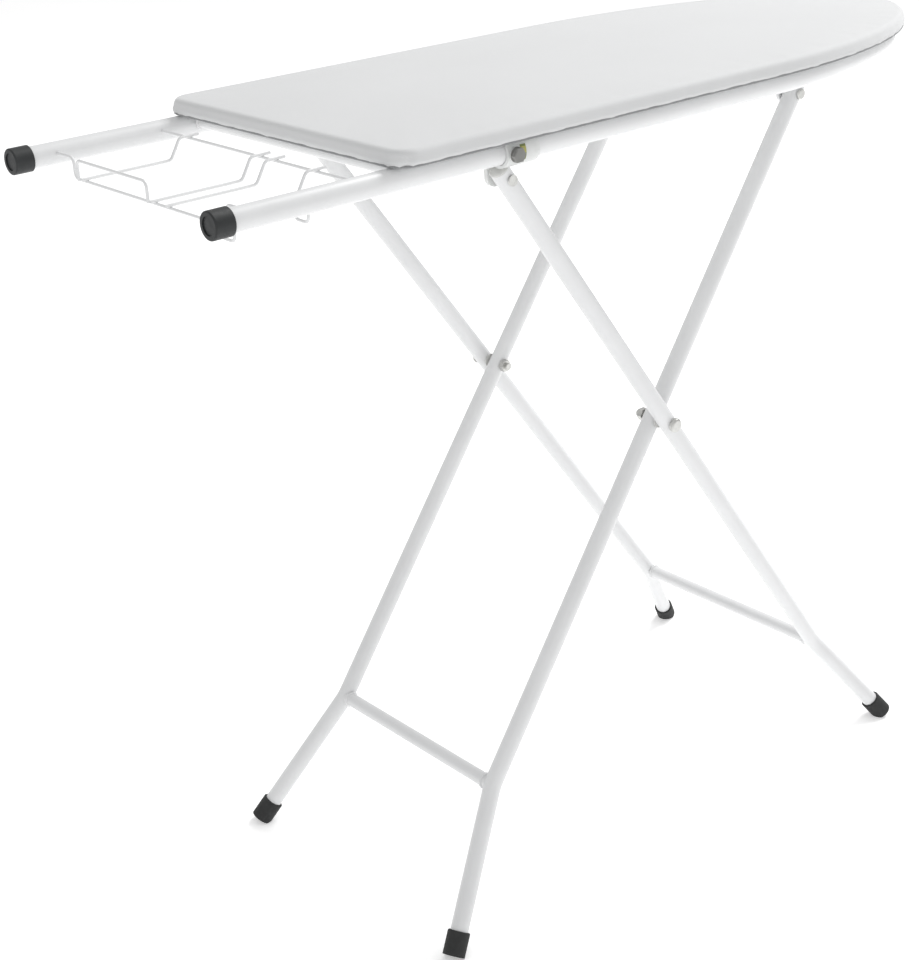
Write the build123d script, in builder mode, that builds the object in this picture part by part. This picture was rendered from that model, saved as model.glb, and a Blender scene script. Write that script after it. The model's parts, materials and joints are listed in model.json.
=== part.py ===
"""Folding ironing board with a scissor leg stand and a wire iron rest.

Frame: millimetres, +Z up, +X towards the rounded nose, +Y to the left of someone facing the nose.
The origin is on the floor, at the middle of the board's length and width.
"""
from build123d import *
from collections import namedtuple
from math import sin, cos, radians
import os

os.makedirs("parts", exist_ok=True)

# ---------------------------------------------------------------- driving dimensions
overall_length = 1090.0      # rail caps to the tip of the padded nose
rail_z = 860.0               # height of the rail axis
rail_half_spacing = 173.0
rail_radius = 11.0
rail_wall = 1.5
rest_length = 190.0          # how far the rails run past the padded heel
nose_length = 395.0          # length of the padded nose's elliptical taper
pad_half_width = 193.0
bow_length = 373.0           # length of the tube bow's elliptical taper
panel_thickness = 4.0
foam_thickness = 11.0
cover_thickness = 2.0

leg_radius = 10.0
leg_wall = 1.4
leg_angle = radians(54.2)    # slope of both leg frames when standing
hinge_z = 830.0              # axis height of both top axles
cross_z = 510.0              # axis height of the scissor bolts
cross_x = 27.0
bend_radius = 60.0
axle_radius = 4.0
running_gap = 0.07           # radial gap of a pin that turns in a hole
cap_length = 20.0            # black caps on the rail ends
wire_radius = 1.6            # iron rest

# ---------------------------------------------------------------- derived dimensions
rail_end_x = -overall_length / 2
nose_x = overall_length / 2
heel_x = rail_end_x + rest_length
taper_x = nose_x - nose_length
panel_z = rail_z + rail_radius
foam_z = panel_z + panel_thickness
upper_arm = (hinge_z - cross_z) / sin(leg_angle)
lower_arm = cross_z / sin(leg_angle)
inner_hinge_x = cross_x + upper_arm * cos(leg_angle)
outer_hinge_x = cross_x - upper_arm * cos(leg_angle)
SIDES = (("left", 1), ("right", -1))


def save(part, name):
    """Label one finished piece and write it as its own STEP file."""
    part.label = name
    export_step(part, f"parts/{name}.step")


def across(x, z):
    """Plane whose normal is +Y, through the board's centre line at x, z."""
    return Plane(origin=(x, 0, z), x_dir=(1, 0, 0), z_dir=(0, 1, 0))


def across_at(x, y, z, side):
    """Plane at x, y, z whose normal points outwards along Y on the given side."""
    return Plane(origin=(x, side * y, z), x_dir=(1, 0, 0), z_dir=(0, side, 0))


def board_outline(half_width, heel, nose, corner):
    """Face of the board in plan: square heel with small corners, elliptical nose."""
    with BuildSketch() as outline:
        with BuildLine():
            FilletPolyline((taper_x, half_width), (heel, half_width), (heel, -half_width), (taper_x, -half_width),
                           radius=corner)
            EllipticalCenterArc((taper_x, 0), nose - taper_x, half_width, -90, arc_size=180)
        make_face()
    return outline.sketch


# ---------------------------------------------------------------- tube frame of the board
for side_name, side in SIDES:
    with BuildPart() as rail:
        with BuildSketch(Plane(origin=(rail_end_x + 3, side * rail_half_spacing, rail_z), z_dir=(1, 0, 0))):
            Circle(rail_radius)
            Circle(rail_radius - rail_wall, mode=Mode.SUBTRACT)
        extrude(amount=taper_x - rail_end_x - 3)
        for wire_x in (heel_x - 25, rail_end_x + 46):
            with BuildSketch(across_at(wire_x, rail_half_spacing - rail_radius - 2, rail_z + 2, side)):
                Circle(wire_radius + 0.1)
            extrude(amount=rail_radius - 2, mode=Mode.SUBTRACT)
    save(rail.part, f"rail_{side_name}")

    with BuildPart() as rail_cap:
        with BuildSketch(Plane(origin=(rail_end_x, side * rail_half_spacing, rail_z), z_dir=(1, 0, 0))):
            Circle(rail_radius + 2)
        extrude(amount=cap_length)
        with BuildSketch(Plane(origin=(rail_end_x + 3, side * rail_half_spacing, rail_z), z_dir=(1, 0, 0))):
            Circle(rail_radius)
        extrude(amount=cap_length, mode=Mode.SUBTRACT)
        with BuildSketch(Plane(origin=(rail_end_x, side * rail_half_spacing, rail_z), z_dir=(1, 0, 0))):
            Circle(rail_radius - 2.5)
        extrude(amount=1.2, mode=Mode.SUBTRACT)
        fillet(rail_cap.faces().sort_by(Axis.X)[0].outer_wire().edges(), 1.5)
    save(rail_cap.part, f"rail_cap_{side_name}")



def bow_rod(radius, mode=Mode.ADD):
    """Sweep a round rod along the half ellipse of the nose, inside the current part."""
    with BuildLine() as line:
        EllipticalCenterArc((taper_x, 0, rail_z), bow_length, rail_half_spacing, -90, arc_size=180)
    with BuildSketch(Plane(origin=(taper_x, -rail_half_spacing, rail_z), z_dir=(1, 0, 0))) as section:
        Circle(radius)
    sweep(section.sketch, path=line.wires()[0], mode=mode)


with BuildPart() as nose_bow:
    bow_rod(rail_radius)
    bow_rod(rail_radius - rail_wall, mode=Mode.SUBTRACT)
save(nose_bow.part, "nose_bow")

heel_bar_radius = 6.0
with BuildPart() as heel_bar:
    with BuildSketch(across(heel_x + 22, rail_z + 3)):
        Circle(heel_bar_radius)
        Circle(heel_bar_radius - 1.2, mode=Mode.SUBTRACT)
    extrude(amount=rail_half_spacing - rail_radius, both=True)
save(heel_bar.part, "heel_cross_tube")

nose_bar_radius = 8.0
nose_bar_half = 171.0        # long enough to be coped against the bow
nose_bar_z = rail_z - 3.3
with BuildPart() as nose_bar:
    with BuildSketch(across(inner_hinge_x, nose_bar_z)):
        Circle(nose_bar_radius)
        Circle(nose_bar_radius - 1.4, mode=Mode.SUBTRACT)
    extrude(amount=nose_bar_half, both=True)
    bow_rod(rail_radius, mode=Mode.SUBTRACT)
    with Locations((inner_hinge_x, 0, nose_bar_z)):
        Box(60, 2 * nose_bar_half - 12, 60, mode=Mode.INTERSECT)
save(nose_bar.part, "nose_cross_tube")

# ---------------------------------------------------------------- panel, foam and cover
panel_half_width = pad_half_width - 5
with BuildPart() as panel:
    with BuildSketch(Plane.XY.offset(panel_z)):
        add(board_outline(panel_half_width, heel_x + 4, nose_x - 5, 20))
    extrude(amount=panel_thickness)
    with BuildSketch(Plane.XY.offset(panel_z)):
        add(board_outline(panel_half_width - 24, heel_x + 26, nose_x - 36, 10))
    extrude(amount=panel_thickness - 1.2, mode=Mode.SUBTRACT)
    with BuildSketch(Plane.XY.offset(panel_z)):
        with Locations(((heel_x + taper_x) / 2 + 12, 0)):
            with GridLocations(46, 46, 10, 7):
                Circle(7)
        with Locations((taper_x + 59, 0)):
            with GridLocations(46, 46, 3, 6):
                Circle(7)
        with Locations((taper_x + 174, 0)):
            with GridLocations(46, 46, 2, 5):
                Circle(7)
        with Locations((taper_x + 266, 0)):
            with GridLocations(46, 46, 2, 3):
                Circle(7)
    extrude(amount=panel_thickness, mode=Mode.SUBTRACT)
save(panel.part, "board_panel")

with BuildPart() as foam:
    with BuildSketch(Plane.XY.offset(foam_z + 0.1)):
        add(board_outline(pad_half_width - cover_thickness - 0.6, heel_x + cover_thickness + 0.6,
                          nose_x - cover_thickness - 0.6, 20))
    extrude(amount=foam_thickness)
    fillet(foam.faces().sort_by(Axis.Z)[-1].edges(), 6)
save(foam.part, "foam_pad")

cover_drop = 3.8             # how far the skirt hangs below the foam
with BuildPart() as cover:
    with BuildSketch(Plane.XY.offset(foam_z + 0.4 - cover_drop)):
        add(board_outline(pad_half_width, heel_x, nose_x, 22))
    extrude(amount=foam_thickness + cover_thickness + cover_drop)
    fillet(cover.faces().sort_by(Axis.Z)[-1].edges(), 7)
    with BuildSketch(Plane.XY.offset(foam_z + 0.4 - cover_drop)):
        add(board_outline(pad_half_width - cover_thickness, heel_x + cover_thickness, nose_x - cover_thickness, 20.5))
    extrude(amount=foam_thickness + cover_drop, mode=Mode.SUBTRACT)
save(cover.part, "fabric_cover")

# ---------------------------------------------------------------- leg frames
# top_y, bend_y and foot_y are the tube centre's distances from the middle of the board at the top
# axle, at the bend and on the floor. bend is measured down the leg from the scissor bolts.
LegFrame = namedtuple("LegFrame", "name direction top_y bend bend_y foot_y bar_radius")
INNER = LegFrame("inner", -1, 124.5, 443.0, 134.0, 183.0, 8.0)
OUTER = LegFrame("outer", 1, 158.5, 475.0, 144.5, 195.0, 8.0)
top_overhang = 12.0           # tube left above its top axle
tube_end_z = 12.0            # tube centre at its lower end, inside the foot cap
foot_cap_radius = 12.5
foot_cap_depth = 16.0
foot_cap_sole = 11.0        # solid rubber below the tube, cut flat by the floor
bolt_radius = 4.0


def leg_point(frame, distance, y):
    """Point at a distance down a leg frame from the scissor bolts."""
    x = cross_x + frame.direction * distance * cos(leg_angle)
    return Vector(x, y, cross_z - distance * sin(leg_angle))


def leg_y(frame, distance):
    """Distance of the upper tube's centre from the middle plane."""
    return frame.top_y + (frame.bend_y - frame.top_y) * (distance + upper_arm) / (frame.bend + upper_arm)


def leg_points(frame, side):
    """Top, bend and lower end of one leg tube's centre line."""
    top = -upper_arm - top_overhang
    end = (cross_z - tube_end_z) / sin(leg_angle)
    splay = (frame.foot_y - frame.bend_y) / (lower_arm - frame.bend)
    end_y = frame.bend_y + splay * (end - frame.bend)
    return (leg_point(frame, top, side * leg_y(frame, top)),
            leg_point(frame, frame.bend, side * frame.bend_y),
            leg_point(frame, end, side * end_y))


def rod_along(points, radius, bend, mode=Mode.ADD):
    """Sweep a round rod along a path with rounded bends, inside the current part."""
    with BuildLine() as line:
        FilletPolyline(*points, radius=bend)
    path = line.wires()[0]
    with BuildSketch(Plane(origin=path @ 0, z_dir=path % 0)) as section:
        Circle(radius)
    sweep(section.sketch, path=path, mode=mode)


for frame in (INNER, OUTER):
    top_gap = running_gap if frame is INNER else 0.02
    cross_gap = running_gap if frame is OUTER else 0.02
    for side_name, side in SIDES:
        points = leg_points(frame, side)
        with BuildPart() as leg:
            rod_along(points, leg_radius, bend_radius)
            rod_along(points, leg_radius - leg_wall, bend_radius, mode=Mode.SUBTRACT)
            top_axle = leg_point(frame, -upper_arm, 0)
            with BuildSketch(across_at(top_axle.X, frame.top_y - 2 * leg_radius, hinge_z, side)):
                Circle(axle_radius + top_gap)
            extrude(amount=4 * leg_radius, mode=Mode.SUBTRACT)
            with BuildSketch(across_at(cross_x, leg_y(frame, 0) - 2 * leg_radius, cross_z, side)):
                Circle(bolt_radius + cross_gap)
            extrude(amount=4 * leg_radius, mode=Mode.SUBTRACT)
        save(leg.part, f"{frame.name}_leg_{side_name}")

        down = (points[2] - points[1]).normalized()
        cap_plane = Plane(origin=points[2] - down * foot_cap_depth, z_dir=down)
        with BuildPart() as foot_cap:
            with BuildSketch(cap_plane):
                Circle(foot_cap_radius)
            extrude(amount=foot_cap_depth + foot_cap_sole)
            chamfer(foot_cap.faces().sort_by(Axis.Z)[-1].edges(), 1)
            with BuildSketch(cap_plane):
                Circle(leg_radius)
            extrude(amount=foot_cap_depth, mode=Mode.SUBTRACT)
            split(bisect_by=Plane.XY, keep=Keep.TOP)
        save(foot_cap.part, f"{frame.name}_foot_cap_{side_name}")

    with BuildPart() as leg_bar:
        bar_centre = leg_point(frame, frame.bend, 0)
        with BuildSketch(across(bar_centre.X, bar_centre.Z)):
            Circle(frame.bar_radius)
            Circle(frame.bar_radius - 1.2, mode=Mode.SUBTRACT)
        extrude(amount=frame.bend_y, both=True)
        for side in (1, -1):
            rod_along(leg_points(frame, side), leg_radius, bend_radius, mode=Mode.SUBTRACT)
        # the bar keeps only its middle, without slivers left inside the leg tubes
        with Locations((bar_centre.X, 0, bar_centre.Z)):
            Box(60, 2 * frame.bend_y - leg_radius, 60, mode=Mode.INTERSECT)
    save(leg_bar.part, f"{frame.name}_leg_crossbar")

# ---------------------------------------------------------------- scissor bolts
head_height = 5.0
bolt_outside = leg_y(OUTER, 0) + leg_radius + 0.5
bolt_inside = leg_y(INNER, 0) - leg_radius - 0.4
nut_height = 6.5
for side_name, side in SIDES:
    with BuildPart() as scissor_bolt:
        with BuildSketch(across_at(cross_x, bolt_inside - nut_height - 4, cross_z, side)):
            Circle(bolt_radius)
        extrude(amount=bolt_outside - bolt_inside + nut_height + 4)
        with BuildSketch(across_at(cross_x, bolt_outside, cross_z, side)):
            Circle(8)
        extrude(amount=head_height)
        outer_face = scissor_bolt.faces().sort_by(Axis.Y)[-1 if side > 0 else 0]
        fillet(outer_face.edges(), 3)
    save(scissor_bolt.part, f"scissor_bolt_{side_name}")

    with BuildPart() as scissor_nut:
        with BuildSketch(across_at(cross_x, bolt_inside - nut_height, cross_z, side)):
            RegularPolygon(7.5, 6)
            Circle(bolt_radius + 0.02, mode=Mode.SUBTRACT)
        extrude(amount=nut_height)
    save(scissor_nut.part, f"scissor_nut_{side_name}")

    with BuildPart() as spacer:
        with BuildSketch(across_at(cross_x, (leg_y(INNER, 0) + leg_y(OUTER, 0)) / 2 - 0.6, cross_z, side)):
            Circle(9)
            Circle(bolt_radius + 0.02, mode=Mode.SUBTRACT)
        extrude(amount=1.2)
    save(spacer.part, f"scissor_spacer_{side_name}")

# ---------------------------------------------------------------- brackets under the nose
plate = 4.0
bracket_half = 11.0
bracket_top_z = nose_bar_z - nose_bar_radius
bracket_y = INNER.top_y - leg_radius - 1.2 - plate
for side_name, side in SIDES:
    with BuildPart() as bracket:
        with BuildSketch(across_at(inner_hinge_x, bracket_y, hinge_z, side)):
            Circle(bracket_half)
            with Locations((0, -side * (bracket_top_z - hinge_z) / 2)):
                Rectangle(2 * bracket_half, bracket_top_z - hinge_z)
        extrude(amount=plate)
        with Locations((inner_hinge_x, side * (bracket_y + 10), bracket_top_z - 1.1)):
            Box(2 * bracket_half, 20, 2.2)
        with BuildSketch(across_at(inner_hinge_x, 90, hinge_z, side)):
            Circle(axle_radius + 0.02)
        extrude(amount=60, mode=Mode.SUBTRACT)
    save(bracket.part, f"nose_bracket_{side_name}")

    with BuildPart() as nose_pin:
        pin_head_y = INNER.top_y + leg_radius + 0.6
        with BuildSketch(across_at(inner_hinge_x, bracket_y - 3, hinge_z, side)):
            Circle(axle_radius)
        extrude(amount=pin_head_y - bracket_y + 3)
        with BuildSketch(across_at(inner_hinge_x, pin_head_y, hinge_z, side)):
            Circle(6)
        extrude(amount=2.5)
        head_face = nose_pin.faces().sort_by(Axis.Y)[-1 if side > 0 else 0]
        fillet(head_face.edges(), 1.5)
    save(nose_pin.part, f"nose_pin_{side_name}")

# ---------------------------------------------------------------- slides on the rails
shoe_back = 20.0             # how far the shoe reaches behind its pin
shoe_front = 20.0
shoe_inner = rail_radius + 0.4
shoe_outer = 14.4
lug_y = 140.0
lug_plate = 5.0
lock_x = outer_hinge_x - 12
for side_name, side in SIDES:
    with BuildPart() as shoe:
        shoe_plane = Plane(origin=(outer_hinge_x - shoe_back, side * rail_half_spacing, rail_z),
                           x_dir=(0, side, 0), z_dir=(1, 0, 0))
        with BuildSketch(shoe_plane):
            Circle(shoe_outer)
            Circle(shoe_inner, mode=Mode.SUBTRACT)
            # open above: the panel rests on the rail there, and the rest's wires enter it
            with BuildLine():
                Polyline((0, 0), (30, side * 25.2), (30, side * 60), (-40, side * 60),
                         (-40, -side * 14.6), (0, 0))
            make_face(mode=Mode.SUBTRACT)
        extrude(amount=shoe_back + shoe_front)
        with BuildSketch(across_at(outer_hinge_x, lug_y, hinge_z, side)):
            Circle(10)
            with Locations((0, -side * 10)):
                Rectangle(20, 20)
        extrude(amount=lug_plate)
        with Locations((outer_hinge_x + (shoe_front - shoe_back) / 2, side * 148, 848)):
            Box(shoe_front + shoe_back, 16, 4)
        with BuildSketch(across_at(lock_x, rail_half_spacing + 13, rail_z, side)):
            Circle(6.5)
        extrude(amount=3.2)
        with BuildSketch(across_at(lock_x, rail_half_spacing + 8, rail_z, side)):
            Circle(3 + running_gap)
        extrude(amount=12, mode=Mode.SUBTRACT)
        with BuildSketch(across_at(outer_hinge_x, lug_y - 2, hinge_z, side)):
            Circle(axle_radius + running_gap)
        extrude(amount=lug_plate + 4, mode=Mode.SUBTRACT)
    save(shoe.part, f"slide_shoe_{side_name}")

    with BuildPart() as slide_pin:
        with BuildSketch(across_at(outer_hinge_x, lug_y - 4, hinge_z, side)):
            Circle(axle_radius)
        extrude(amount=OUTER.top_y + leg_radius + 1 - lug_y + 4)
        with BuildSketch(across_at(outer_hinge_x, lug_y - 4, hinge_z, side)):
            Circle(6.5)
        extrude(amount=3.5)
        with BuildSketch(across_at(outer_hinge_x, OUTER.top_y + leg_radius + 0.4, hinge_z, side)):
            Circle(5.5)
        extrude(amount=2)
    save(slide_pin.part, f"slide_pin_{side_name}")

    with BuildPart() as lock_bolt:
        with BuildSketch(across_at(lock_x, rail_half_spacing + rail_radius + 0.6, rail_z, side)):
            Circle(3)
        extrude(amount=6)
        with BuildSketch(across_at(lock_x, rail_half_spacing + 16.6, rail_z, side)):
            Circle(7.5)
        extrude(amount=1)
        with BuildSketch(across_at(lock_x, rail_half_spacing + 17.6, rail_z, side)):
            RegularPolygon(7.5, 6)
        extrude(amount=5)
        chamfer(lock_bolt.faces().sort_by(Axis.Y)[-1 if side > 0 else 0].edges(), 0.8)
    save(lock_bolt.part, f"lock_bolt_{side_name}")

with BuildPart() as label:
    with BuildSketch(Plane(origin=(lock_x + 7.8, -rail_half_spacing, rail_z), x_dir=(0, -1, 0), z_dir=(1, 0, 0))):
        Circle(shoe_outer + 0.4)
        Circle(shoe_outer, mode=Mode.SUBTRACT)
        with Locations((14, 0)):
            Rectangle(20, 15, mode=Mode.INTERSECT)
    extrude(amount=6.5)
save(label.part, "side_label")

# ---------------------------------------------------------------- wire iron rest
high_z = rail_z + 2          # wires that enter the rails
low_z = rail_z - 18          # tray wires
inner_wire_x = heel_x - 25
outer_wire_x = rail_end_x + 46
wire_reach = rail_half_spacing - rail_radius + 4
riser_y = 132.0
wire_bend = 6.0

with BuildPart() as inner_wire:
    with BuildSketch(across(inner_wire_x, high_z)):
        Circle(wire_radius)
    extrude(amount=wire_reach, both=True)
save(inner_wire.part, "rest_inner_wire")

with BuildPart() as outer_wire:
    rod_along(((outer_wire_x, -wire_reach, high_z), (outer_wire_x, -riser_y, high_z),
               (outer_wire_x, -riser_y, low_z), (outer_wire_x, riser_y, low_z),
               (outer_wire_x, riser_y, high_z), (outer_wire_x, wire_reach, high_z)),
              wire_radius, wire_bend)
save(outer_wire.part, "rest_outer_wire")

long_wire_ys = (108.0, -16.0, -40.0, -104.0)
with BuildPart() as long_wires:
    for y in long_wire_ys:
        step_z = high_z + 2 * wire_radius
        tray_z = low_z + 2 * wire_radius
        rod_along(((inner_wire_x + 8, y, step_z), (inner_wire_x - 14, y, step_z),
                   (inner_wire_x - 26, y, tray_z), (outer_wire_x - 5, y, tray_z)), wire_radius, wire_bend)
save(long_wires.part, "rest_long_wires")

fence_x = outer_wire_x - 2 * wire_radius
with BuildPart() as fence:
    rod_along(((fence_x, 120, low_z), (fence_x, 120, high_z), (fence_x, -6, high_z), (fence_x, -6, low_z)),
              wire_radius, wire_bend)
save(fence.part, "rest_fence")

with BuildPart() as hooks:
    for x in (outer_wire_x + 8, inner_wire_x - 32):
        rod_along(((x, -104 - 2 * wire_radius, low_z + 4), (x, -104 - 2 * wire_radius, low_z - 16),
                   (x, -128, low_z - 16), (x, -128, low_z - 2)), wire_radius, wire_bend)
save(hooks.part, "rest_hooks")
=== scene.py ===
"""Looks of the folding ironing board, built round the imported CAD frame. Metres, +Z up, +X to the nose."""
import json
import math

import bpy
import numpy as np
from mathutils import Matrix, Vector


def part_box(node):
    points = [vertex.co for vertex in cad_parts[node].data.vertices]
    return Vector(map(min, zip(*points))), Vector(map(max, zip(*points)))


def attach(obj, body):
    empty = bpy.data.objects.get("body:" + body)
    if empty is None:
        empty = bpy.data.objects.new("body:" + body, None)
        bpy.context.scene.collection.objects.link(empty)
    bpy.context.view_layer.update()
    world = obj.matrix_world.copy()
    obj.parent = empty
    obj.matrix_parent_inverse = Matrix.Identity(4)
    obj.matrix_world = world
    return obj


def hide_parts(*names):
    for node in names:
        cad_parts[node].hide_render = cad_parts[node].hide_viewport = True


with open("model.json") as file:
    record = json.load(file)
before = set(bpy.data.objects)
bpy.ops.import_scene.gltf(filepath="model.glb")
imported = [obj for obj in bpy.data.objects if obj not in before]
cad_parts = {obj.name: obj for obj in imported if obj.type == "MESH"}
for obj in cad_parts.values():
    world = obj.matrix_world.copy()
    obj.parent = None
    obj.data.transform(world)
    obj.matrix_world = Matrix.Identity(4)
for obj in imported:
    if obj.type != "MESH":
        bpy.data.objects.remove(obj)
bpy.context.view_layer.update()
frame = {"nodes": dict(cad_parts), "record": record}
nodes = frame["nodes"]

NOSE_TAPER = 0.395          # length of the pad's elliptical nose
SIDES = (("left", 1), ("right", -1))
LEG_TOP_Y = {"inner": 0.1243, "outer": 0.1587}   # distance of each leg's top end from the middle plane
LEG_RADIUS = 0.010


# ---------------------------------------------------------------- material helpers
class Shader:
    """A Principled material with a small set of helpers for its node tree."""

    def __init__(self, name, roughness, metallic=0.0, specular=0.5):
        self.material = bpy.data.materials.new(name)
        self.material.use_nodes = True
        self.tree = self.material.node_tree
        self.main = self.tree.nodes["Principled BSDF"]
        self.main.inputs["Roughness"].default_value = roughness
        self.main.inputs["Metallic"].default_value = metallic
        self.main.inputs["Specular IOR Level"].default_value = specular
        self.place = self.add("ShaderNodeTexCoord").outputs["Object"]

    def add(self, kind, **settings):
        node = self.tree.nodes.new(kind)
        for key, value in settings.items():
            setattr(node, key, value)
        return node

    def link(self, output, target):
        self.tree.links.new(output, target)

    def noise(self, scale, detail=4.0, roughness=0.5, stretch=(1, 1, 1)):
        """Noise value; stretch multiplies the coordinates along each axis."""
        mapping = self.add("ShaderNodeMapping")
        mapping.inputs["Scale"].default_value = stretch
        self.link(self.place, mapping.inputs["Vector"])
        node = self.add("ShaderNodeTexNoise")
        node.inputs["Scale"].default_value = scale
        node.inputs["Detail"].default_value = detail
        node.inputs["Roughness"].default_value = roughness
        self.link(mapping.outputs["Vector"], node.inputs["Vector"])
        return node.outputs["Fac"]

    def bands(self, pitch, axis, distortion=0.0):
        """Sine bands of the given pitch in metres, across one axis."""
        node = self.add("ShaderNodeTexWave", wave_type="BANDS", bands_direction=axis, wave_profile="SIN")
        node.inputs["Scale"].default_value = math.pi / (10 * pitch)
        node.inputs["Distortion"].default_value = distortion
        self.link(self.place, node.inputs["Vector"])
        return node.outputs["Fac"]

    def ramp(self, value, stops):
        """Colour ramp: stops are (position, grey or colour)."""
        node = self.add("ShaderNodeValToRGB")
        elements = node.color_ramp.elements
        while len(elements) < len(stops):
            elements.new(0.5)
        for element, (position, colour) in zip(elements, stops):
            element.position = position
            rgb = colour if isinstance(colour, (tuple, list)) else (colour,) * 3
            element.color = (*rgb, 1)
        self.link(value, node.inputs["Fac"])
        return node.outputs["Color"]

    def math(self, operation, a, b):
        node = self.add("ShaderNodeMath", operation=operation)
        for socket, value in zip(node.inputs, (a, b)):
            if isinstance(value, (int, float)):
                socket.default_value = value
            else:
                self.link(value, socket)
        return node.outputs["Value"]

    def mix(self, factor, a, b):
        """Mix two colours by a value."""
        node = self.add("ShaderNodeMix", data_type="RGBA")
        self.link(factor, node.inputs[0])
        for socket, value in ((node.inputs[6], a), (node.inputs[7], b)):
            if isinstance(value, tuple):
                socket.default_value = (*value, 1)
            else:
                self.link(value, socket)
        return node.outputs[2]

    def colour(self, source):
        self.link(source, self.main.inputs["Base Color"])

    def rough(self, source):
        self.link(source, self.main.inputs["Roughness"])

    def bump(self, height, distance, strength=1.0):
        """Add a bump on top of any earlier one; distance in metres."""
        node = self.add("ShaderNodeBump")
        node.inputs["Strength"].default_value = strength
        node.inputs["Distance"].default_value = distance
        self.link(height, node.inputs["Height"])
        target = self.main.inputs["Normal"]
        if target.is_linked:
            self.link(target.links[0].from_socket, node.inputs["Normal"])
        self.link(node.outputs["Normal"], target)


def tint(colour, factor):
    return tuple(min(1.0, c * factor) for c in colour)


def powder_coat(name, colour, roughness=0.34):
    """White baked paint: orange peel, faint dust and rubbed streaks."""
    s = Shader(name, roughness)
    cloudy = s.noise(9.0, 5.0, 0.6)
    streaks = s.noise(60.0, 6.0, 0.65, (0.25, 0.25, 1.0))
    base = s.ramp(cloudy, ((0.30, tint(colour, 0.955)), (0.70, tint(colour, 1.02))))
    marks = s.ramp(streaks, ((0.66, 0.0), (0.80, 0.22)))
    s.colour(s.mix(marks, base, tint(colour, 0.74)))
    s.rough(s.ramp(s.noise(35.0, 5.0, 0.6), ((0.3, roughness - 0.06), (0.75, roughness + 0.16))))
    s.main.inputs["Coat Weight"].default_value = 0.35
    s.main.inputs["Coat Roughness"].default_value = 0.22
    s.bump(s.noise(380.0, 2.0, 0.4), 0.00006, 0.30)
    s.bump(s.noise(95.0, 3.0, 0.5), 0.0002, 0.10)
    return s.material


def moulded(name, colour, roughness, grain=900.0, depth=0.00012):
    """Moulded plastic or rubber with a fine spark-eroded grain and scuffed, paler patches."""
    s = Shader(name, roughness, specular=0.42)
    scuffs = s.noise(130.0, 7.0, 0.7)
    base = s.ramp(s.noise(40.0, 4.0, 0.5), ((0.3, tint(colour, 0.85)), (0.7, tint(colour, 1.15))))
    pale = tuple(min(1.0, c * 1.5 + 0.035) for c in colour)
    s.colour(s.mix(s.ramp(scuffs, ((0.60, 0.0), (0.74, 0.55))), base, pale))
    s.rough(s.ramp(scuffs, ((0.35, roughness - 0.05), (0.72, min(1.0, roughness + 0.18)))))
    s.bump(s.noise(grain, 2.0, 0.5), depth, 0.6)
    return s.material


def plated(name, colour, roughness=0.30):
    """Zinc plated steel with turned rings, a cloudy passivation and a few dull spots."""
    s = Shader(name, roughness, metallic=1.0)
    cloudy = s.noise(160.0, 5.0, 0.6)
    spots = s.noise(420.0, 3.0, 0.6)
    base = s.ramp(cloudy, ((0.3, tint(colour, 0.82)), (0.7, tint(colour, 1.12))))
    s.colour(s.mix(s.ramp(spots, ((0.62, 0.0), (0.72, 0.5))), base, tint(colour, 0.5)))
    s.rough(s.ramp(cloudy, ((0.3, roughness), (0.75, roughness + 0.22))))
    s.bump(s.bands(0.0005, "Y", 1.5), 0.00004, 0.4)
    return s.material


def woven(name, colour, pitch=0.0011):
    """Plain weave: warp and weft bands that pass over and under, slubs, and soft cloudy tone."""
    s = Shader(name, 0.72, specular=0.30)
    warp, weft = s.bands(pitch, "X", 0.6), s.bands(pitch, "Y", 0.6)
    over = s.math("MULTIPLY", warp, weft)
    under = s.math("MULTIPLY", s.math("SUBTRACT", 1.0, warp), s.math("SUBTRACT", 1.0, weft))
    weave = s.math("ADD", over, under)
    slubs_x = s.noise(55.0, 4.0, 0.6, (0.12, 6.0, 6.0))
    slubs_y = s.noise(55.0, 4.0, 0.6, (6.0, 0.12, 6.0))
    slubs = s.math("MAXIMUM", slubs_x, slubs_y)
    cloudy = s.ramp(s.noise(5.5, 4.0, 0.55), ((0.30, tint(colour, 0.965)), (0.72, tint(colour, 1.02))))
    threads = s.ramp(weave, ((0.0, tint(colour, 0.90)), (0.8, tint(colour, 1.03))))
    toned = s.mix(s.ramp(slubs, ((0.45, 0.35), (0.75, 0.75))), threads, cloudy)
    s.colour(toned)
    s.rough(s.ramp(slubs, ((0.4, 0.64), (0.8, 0.80))))
    s.main.inputs["Sheen Weight"].default_value = 0.30
    s.main.inputs["Sheen Roughness"].default_value = 0.45
    s.bump(weave, 0.00022, 0.45)
    s.bump(slubs, 0.0003, 0.20)
    s.bump(s.noise(28.0, 4.0, 0.5), 0.0012, 0.18)
    return s.material


def foamed(name, colour):
    """Open-cell foam."""
    s = Shader(name, 0.9, specular=0.2)
    cells = s.noise(700.0, 3.0, 0.7)
    s.colour(s.ramp(cells, ((0.35, tint(colour, 0.72)), (0.65, tint(colour, 1.05)))))
    s.bump(cells, 0.0006, 0.8)
    return s.material


def film_label(name, colour, edge):
    """Plain printed film: two flat fields, no lettering, slightly worn."""
    s = Shader(name, 0.32)
    worn = s.noise(300.0, 5.0, 0.6)
    bands = s.bands(0.015, "Z")
    field = s.mix(s.ramp(bands, ((0.62, 0.0), (0.66, 1.0))), colour, edge)
    s.colour(s.mix(s.ramp(worn, ((0.60, 0.0), (0.75, 0.5))), field, tint(colour, 1.5)))
    s.bump(worn, 0.0001, 0.2)
    return s.material


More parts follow.
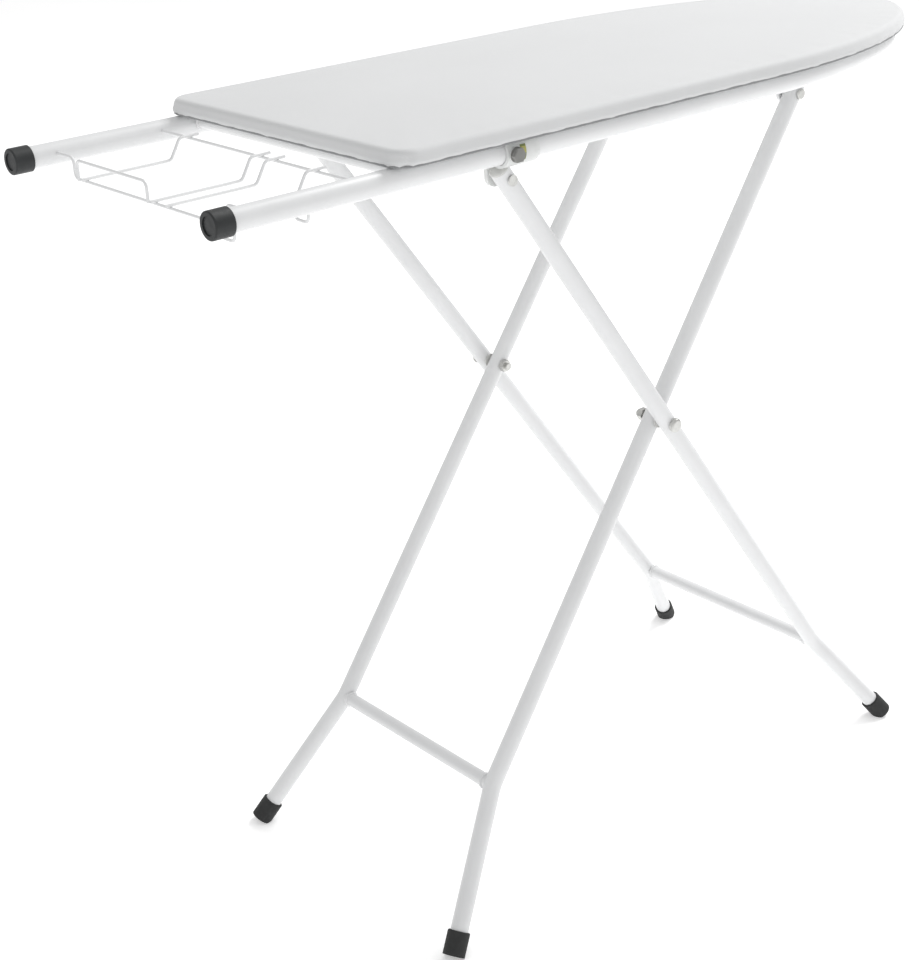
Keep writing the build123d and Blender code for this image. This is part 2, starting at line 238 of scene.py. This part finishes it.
TUBE_WHITE = (0.77, 0.775, 0.78)
finishes = {
    "painted_tube": powder_coat("rail_paint", TUBE_WHITE),
    "painted_plate": powder_coat("bracket_paint", tint(TUBE_WHITE, 0.98), 0.40),
    "leg_tube": powder_coat("leg_paint", tint(TUBE_WHITE, 0.985)),
    "panel_steel": powder_coat("panel_paint", tint(TUBE_WHITE, 0.88), 0.50),
    "rest_wire": powder_coat("wire_coating", tint(TUBE_WHITE, 1.02), 0.38),
    "foam": foamed("pad_foam", (0.80, 0.76, 0.62)),
    "cover_cloth": woven("cover_weave", (0.685, 0.691, 0.695)),
    "black_plastic": moulded("cap_plastic", (0.020, 0.022, 0.023), 0.46),
    "black_rubber": moulded("foot_rubber", (0.022, 0.023, 0.023), 0.66, 700.0, 0.0002),
    "zinc_steel": plated("zinc_plate", (0.62, 0.62, 0.60)),
    "spacer_nylon": moulded("spacer_nylon", (0.66, 0.66, 0.64), 0.50),
    "shoe_plastic": moulded("shoe_plastic", (0.72, 0.73, 0.72), 0.42),
    "lock_plastic": moulded("lock_plastic", (0.22, 0.22, 0.21), 0.40),
    "label": film_label("plain_label", (0.16, 0.19, 0.055), (0.42, 0.40, 0.12)),
}
slot_of = {row["node"]: row["material_slot"] for row in frame["record"]["subparts"]}
for name, node in nodes.items():
    node.data.materials.clear()
    node.data.materials.append(finishes[slot_of[name]])


# ---------------------------------------------------------------- mesh helpers
def make_piece(name, points, faces, body, slot, smooth=True):
    """New mesh piece that rides on a body and takes the finish of a record slot."""
    mesh = bpy.data.meshes.new(name)
    mesh.from_pydata([tuple(p) for p in points], [], faces)
    mesh.validate()
    mesh.update()
    mesh.polygons.foreach_set("use_smooth", [smooth] * len(mesh.polygons))
    piece = bpy.data.objects.new(name, mesh)
    bpy.context.scene.collection.objects.link(piece)
    mesh.materials.append(finishes[slot])
    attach(piece, body)
    return piece


def loop_faces(rings, count, closed_rings=False):
    """Quads between consecutive closed rings of count points each."""
    faces = []
    last = rings if closed_rings else rings - 1
    for r in range(last):
        a, b = r * count, ((r + 1) % rings) * count
        for i in range(count):
            j = (i + 1) % count
            faces.append((a + i, a + j, b + j, b + i))
    return faces


HEEL_STEPS, CORNER_STEPS, FLANK_STEPS, NOSE_STEPS = 40, 24, 80, 160   # points before even spacing


def board_outline(heel, nose, half_width, corner, spacing):
    """Points and outward normals round the pad in plan, evenly spaced, from the heel's middle."""
    taper = nose - NOSE_TAPER
    dense = []
    for t in np.linspace(0, 1, HEEL_STEPS, endpoint=False):
        dense.append((heel, -t * (half_width - corner)))
    for a in np.linspace(math.pi, 1.5 * math.pi, CORNER_STEPS, endpoint=False):
        dense.append((heel + corner + corner * math.cos(a), corner - half_width + corner * math.sin(a)))
    for t in np.linspace(0, 1, FLANK_STEPS, endpoint=False):
        dense.append((heel + corner + t * (taper - heel - corner), -half_width))
    for a in np.linspace(-math.pi / 2, 0, NOSE_STEPS):
        dense.append((taper + NOSE_TAPER * math.cos(a), half_width * math.sin(a)))
    mirrored = [(x, -y) for x, y in reversed(dense[1:-1])]
    ring = np.array(dense + mirrored)
    closed = np.vstack([ring, ring[:1]])
    steps = np.linalg.norm(np.diff(closed, axis=0), axis=1)
    along = np.concatenate([[0], np.cumsum(steps)])
    count = int(along[-1] / spacing)
    at = np.linspace(0, along[-1], count, endpoint=False)
    x, y = np.interp(at, along, closed[:, 0]), np.interp(at, along, closed[:, 1])
    tangent = np.stack([np.roll(x, -1) - np.roll(x, 1), np.roll(y, -1) - np.roll(y, 1)], 1)
    tangent /= np.linalg.norm(tangent, axis=1)[:, None]
    normal = np.stack([tangent[:, 1], -tangent[:, 0]], 1)
    return np.stack([x, y], 1), normal, at


# ---------------------------------------------------------------- padded top
cover_low, cover_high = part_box("fabric_cover")
panel_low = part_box("board_panel")[0]
HEEL_CORNER = 0.022
EDGE_RADIUS = 0.0075
CROWN = 0.0026
HEM_DROP = 0.0006           # height of the hem above the panel's underside
COVER_PUCKER = 0.0006       # size of the puckers at the cover's edge
OUTLINE_SPACING = 0.006
# the cloth that turns under the hem: distance inward, rise above the hem, share of the puckers
HEM_TURN = ((0.0062, 0.0004, 0.4), (0.0035, 0.0, 0.6), (0.0012, 0.0004, 0.9), (0.0002, 0.0020, 1.0))
HEM_HEIGHT = HEM_TURN[-1][1]
SIDE_BULGE = 0.0011
EDGE_STEPS = 6              # rings over the rounded edge
TOP_STEPS = 26              # rings from the edge to the middle line
TOP_RIPPLE = 0.0005         # puckers that run on over the edge, and how far they reach inward
TOP_RIPPLE_REACH = 0.018
TOP_HOLLOW = 0.00045        # soft hollows in the top
# puckers as sums of sines round the outline: turns, size, shift
EDGE_PUCKERS = ((61, 0.35, 0.4), (97, 0.30, 1.9), (143, 0.22, 3.1), (31, 0.3, 5.0))
TOP_PUCKERS = ((61, 0.5, 2.4), (97, 0.4, 0.9), (31, 0.5, 3.0))
CORNER_TURNS = 210          # finer gathers close to the two heel corners
CORNER_SPREAD = 0.0012      # square metres
ring_xy, ring_normal, ring_at = board_outline(cover_low.x, cover_high.x, cover_high.y, HEEL_CORNER,
                                              OUTLINE_SPACING)
ring_count = len(ring_xy)
medial_start = cover_low.x + cover_high.y * 0.9
medial_end = cover_high.x - NOSE_TAPER * 0.55


def waves(phase, terms):
    """Sum of sines round the outline, each (turns, size, shift)."""
    total = np.zeros_like(phase)
    for turns, size, shift in terms:
        total += size * np.sin(turns * phase + shift)
    return total


def medial(xy):
    """Nearest point on the pad's middle line, for each outline point."""
    x = np.clip(xy[:, 0], medial_start, medial_end)
    return np.stack([x, np.zeros(len(x))], 1)


def pad_surface(inward, z_shift, puckers, hem_z, closed_below):
    """Rings of points over the pad's side, edge and top; the last ring lies on the middle line."""
    phase = 2 * math.pi * ring_at / (ring_at[-1] + ring_at[1])
    xy = ring_xy - ring_normal * inward
    side_top = cover_high.z - EDGE_RADIUS + z_shift
    from_corner = (np.abs(ring_xy[:, 1]) - cover_high.y) ** 2 + (ring_xy[:, 0] - cover_low.x) ** 2
    corner_pull = np.exp(-from_corner / CORNER_SPREAD)
    rings = []

    def ring(inset, z, amount):
        ripple = puckers * amount * waves(phase, EDGE_PUCKERS)
        ripple += puckers * amount * 1.6 * corner_pull * np.sin(phase * CORNER_TURNS)
        place = xy - ring_normal * (inset + ripple[:, None])
        rings.append(np.column_stack([place, np.full(ring_count, z)]))

    if closed_below:
        for share in (1.0, 0.75, 0.5, 0.25):
            under = xy + (medial(xy) - xy) * share
            rings.append(np.column_stack([under, np.full(ring_count, hem_z)]))
    for inset, rise, amount in HEM_TURN:
        ring(inset, hem_z + rise, amount)
    for share in (0.25, 0.5, 0.75, 1.0):
        bulge = SIDE_BULGE * math.sin(math.pi * share)
        ring(-bulge, hem_z + HEM_HEIGHT + share * (side_top - hem_z - HEM_HEIGHT), 1.0 - 0.6 * share)
    for step in range(1, EDGE_STEPS + 1):
        share = step / EDGE_STEPS
        a = share * math.pi / 2
        ring(EDGE_RADIUS * (1 - math.cos(a)), side_top + EDGE_RADIUS * math.sin(a), 0.35 * (1 - share))
    inner = rings[-1][:, :2]
    centre = medial(inner)
    top_z = side_top + EDGE_RADIUS
    reach = np.linalg.norm(inner - centre, axis=1)
    for step in range(1, TOP_STEPS + 1):
        t = step / TOP_STEPS
        place = inner + (centre - inner) * t
        rise = CROWN * (1 - (1 - t) ** 2.2)
        fading = TOP_RIPPLE * puckers / COVER_PUCKER * np.exp(-t * reach / TOP_RIPPLE_REACH)
        ripple = fading * waves(phase, TOP_PUCKERS)
        hollows = TOP_HOLLOW * np.sin(place[:, 0] * 21 + 1.3) * np.sin(place[:, 1] * 26 + 0.4)
        hollows *= min(1.0, 4 * t)
        rings.append(np.column_stack([place, top_z + rise + ripple + hollows]))
    return np.vstack(rings), len(rings)


def build_pad(name, inward, z_shift, puckers, hem_z, slot, closed_below=False):
    """Pad-shaped piece on the board, joined along its middle line."""
    points, count = pad_surface(inward, z_shift, puckers, hem_z, closed_below)
    pad = make_piece(name, points, loop_faces(count, ring_count), "board", slot)
    weld = pad.modifiers.new("join_middle", "WELD")
    weld.merge_threshold = 0.0012
    return pad


cover = build_pad("cloth_cover", 0.0, 0.0, COVER_PUCKER, panel_low.z + HEM_DROP, "cover_cloth")
thickness = cover.modifiers.new("cloth_thickness", "SOLIDIFY")
thickness.thickness = 0.0009
thickness.offset = -1
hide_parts("fabric_cover")

foam = build_pad("foam_core", 0.0026, -0.0022, 0.0002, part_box("foam_pad")[0].z, "foam", closed_below=True)
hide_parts("foam_pad")


# ---------------------------------------------------------------- small fittings
BEAD_SIDES = 10
TURNED_SIDES = 28


def bead(name, path, outward, side, radius, body, slot):
    """Closed round bead along a path; outward and side span its section."""
    points = []
    for a in np.arange(BEAD_SIDES) * 2 * math.pi / BEAD_SIDES:
        points.append(path + radius * (math.cos(a) * outward + math.sin(a) * side))
    faces = loop_faces(BEAD_SIDES, len(path), closed_rings=True)
    return make_piece(name, np.vstack(points), faces, body, slot)


def turned(name, centre, axis, profile, body, slot):
    """Piece turned about an axis; profile is (distance along the axis, radius) pairs."""
    axis = Vector(axis).normalized()
    first = axis.orthogonal().normalized()
    second = axis.cross(first)
    points = []
    for along, radius in profile:
        for a in np.arange(TURNED_SIDES) * 2 * math.pi / TURNED_SIDES:
            spoke = first * math.cos(a) + second * math.sin(a)
            points.append(Vector(centre) + axis * along + spoke * radius)
    return make_piece(name, points, loop_faces(len(profile), TURNED_SIDES), body, slot)


HEM_CORD = 0.0013
ring_up = np.array([0.0, 0.0, 1.0])
cord_z = panel_low.z + HEM_DROP + 0.0016
hem_path = np.column_stack([ring_xy - ring_normal * 0.0008, np.full(ring_count, cord_z)])
hem = bead("cover_hem", hem_path, np.column_stack([ring_normal, np.zeros(ring_count)]), ring_up,
           HEM_CORD, "board", "cover_cloth")
# The dark grey cloth on the hem cord is painted shadow: it stands in for the shaded seam gap under the
# pad's edge and is not the cloth's own colour.
hem.data.materials[0] = woven("hem_painted_seam_shadow", (0.27, 0.275, 0.28), 0.0008)


def bar_ends(node):
    """Middle of a cross bar, its radius and half its length, from its CAD box."""
    low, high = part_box(node)
    return (low + high) / 2, (high.x - low.x) / 2, (high.y - low.y) / 2


# each bar with its body, and how far in from its end the weld sits
WELDED_BARS = (("inner_leg_crossbar", "inner_legs", 0.0060), ("outer_leg_crossbar", "outer_legs", 0.0060),
               ("heel_cross_tube", "board", 0.0006), ("nose_cross_tube", "board", 0.0075))
WELD_STEPS = 48
WELD_RADIUS = 0.0016
WELD_RIPPLE = 0.0003        # twelve small ripples round each weld
for bar, body, reach in WELDED_BARS:
    middle, radius, half_length = bar_ends(bar)
    for side_name, side in SIDES:
        angle = np.arange(WELD_STEPS) * 2 * math.pi / WELD_STEPS
        ripple = WELD_RIPPLE * np.sin(angle * 12 + side)
        spoke = np.column_stack([np.cos(angle), np.zeros(WELD_STEPS), np.sin(angle)])
        place = np.array([middle.x, side * (half_length - reach), middle.z])
        weld_path = place + spoke * (radius + ripple)[:, None]
        bead(f"weld_{bar}_{side_name}", weld_path, spoke, np.array([0.0, 1.0, 0.0]), WELD_RADIUS,
             body, slot_of[bar])

LEG_SLOPE = math.radians(54.2)   # of the straight upper legs, board open
# plug in a leg's top end: distance along the leg from its end, radius
PLUG = ((-0.006, 0.0080), (0.0001, 0.0082), (0.0001, 0.0101), (0.0014, 0.0101),
        (0.0026, 0.0092), (0.0031, 0.0060), (0.0032, 0.0001))
for leg, direction in (("inner", 1), ("outer", -1)):
    for side_name, side in SIDES:
        low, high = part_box(f"{leg}_leg_{side_name}")
        axis = Vector((direction * math.cos(LEG_SLOPE), 0, math.sin(LEG_SLOPE)))
        top = Vector((high.x if direction > 0 else low.x, 0, high.z))
        top.x -= direction * LEG_RADIUS * math.sin(LEG_SLOPE)
        top.z -= LEG_RADIUS * math.cos(LEG_SLOPE)
        top.y = side * LEG_TOP_Y[leg]
        turned(f"leg_plug_{leg}_{side_name}", top, axis, PLUG, f"{leg}_legs", "spacer_nylon")


# ---------------------------------------------------------------- floor, light and camera
CAMERA_PLACE = (-1.3009, -1.4026, 1.2505)
CAMERA_TURN = (50.55, -23.78, -2.83)   # heading, pitch and roll in degrees
CAMERA_LENS = 69.53                    # millimetres on a 36 mm wide sensor


def backdrop():
    """Pale seamless floor."""
    bpy.ops.mesh.primitive_plane_add(size=160, location=(0, 0, -0.0005))
    floor = bpy.context.object
    floor.name = "studio_floor"
    s = Shader("floor_paper", 0.9, specular=0.1)
    s.colour(s.ramp(s.noise(1.5, 2.0), ((0.3, 0.90), (0.7, 0.92))))
    s.main.inputs["Emission Color"].default_value = (1.0, 1.0, 1.0, 1)
    s.main.inputs["Emission Strength"].default_value = 0.34
    floor.data.materials.append(s.material)


def area_light(name, place, target, size, power):
    """Rectangular lamp aimed at a target; size in metres, power in watts."""
    light = bpy.data.lights.new(name, "AREA")
    light.shape = "RECTANGLE"
    light.size, light.size_y = size
    light.energy = power
    lamp = bpy.data.objects.new(name, light)
    lamp.location = place
    lamp.rotation_euler = (Vector(target) - Vector(place)).to_track_quat("-Z", "Y").to_euler()
    bpy.context.scene.collection.objects.link(lamp)


def studio():
    """Even white surroundings, one large key high up beyond the nose, and a weak fill."""
    world = bpy.data.worlds.new("studio")
    bpy.context.scene.world = world
    world.use_nodes = True
    background = world.node_tree.nodes["Background"]
    background.inputs["Color"].default_value = (1.0, 1.0, 1.0, 1)
    background.inputs["Strength"].default_value = 0.66
    area_light("key", (3.2, 0.4, 4.0), (0, 0, 0.6), (2.2, 1.8), 150)
    area_light("fill", (-2.6, -2.6, 1.7), (0, 0, 0.5), (2.4, 2.0), 6)
    bpy.context.scene.view_settings.view_transform = "Standard"


def main_camera():
    """Three-quarter view from the heel end, slightly above the board."""
    yaw, pitch, roll = (math.radians(a) for a in CAMERA_TURN)
    forward = Vector((math.cos(pitch) * math.cos(yaw), math.cos(pitch) * math.sin(yaw), math.sin(pitch)))
    level = Vector((math.sin(yaw), -math.cos(yaw), 0))
    upright = level.cross(forward)
    right = level * math.cos(roll) + upright * math.sin(roll)
    up = upright * math.cos(roll) - level * math.sin(roll)
    lens = bpy.data.cameras.new("camera")
    lens.sensor_fit = "HORIZONTAL"
    lens.sensor_width = 36.0
    lens.lens = CAMERA_LENS
    lens.clip_end = 200
    camera = bpy.data.objects.new("camera", lens)
    turn = Matrix((right, up, -forward)).transposed().to_4x4()
    camera.matrix_world = Matrix.Translation(CAMERA_PLACE) @ turn
    bpy.context.scene.collection.objects.link(camera)
    bpy.context.scene.camera = camera


backdrop()
studio()
main_camera()
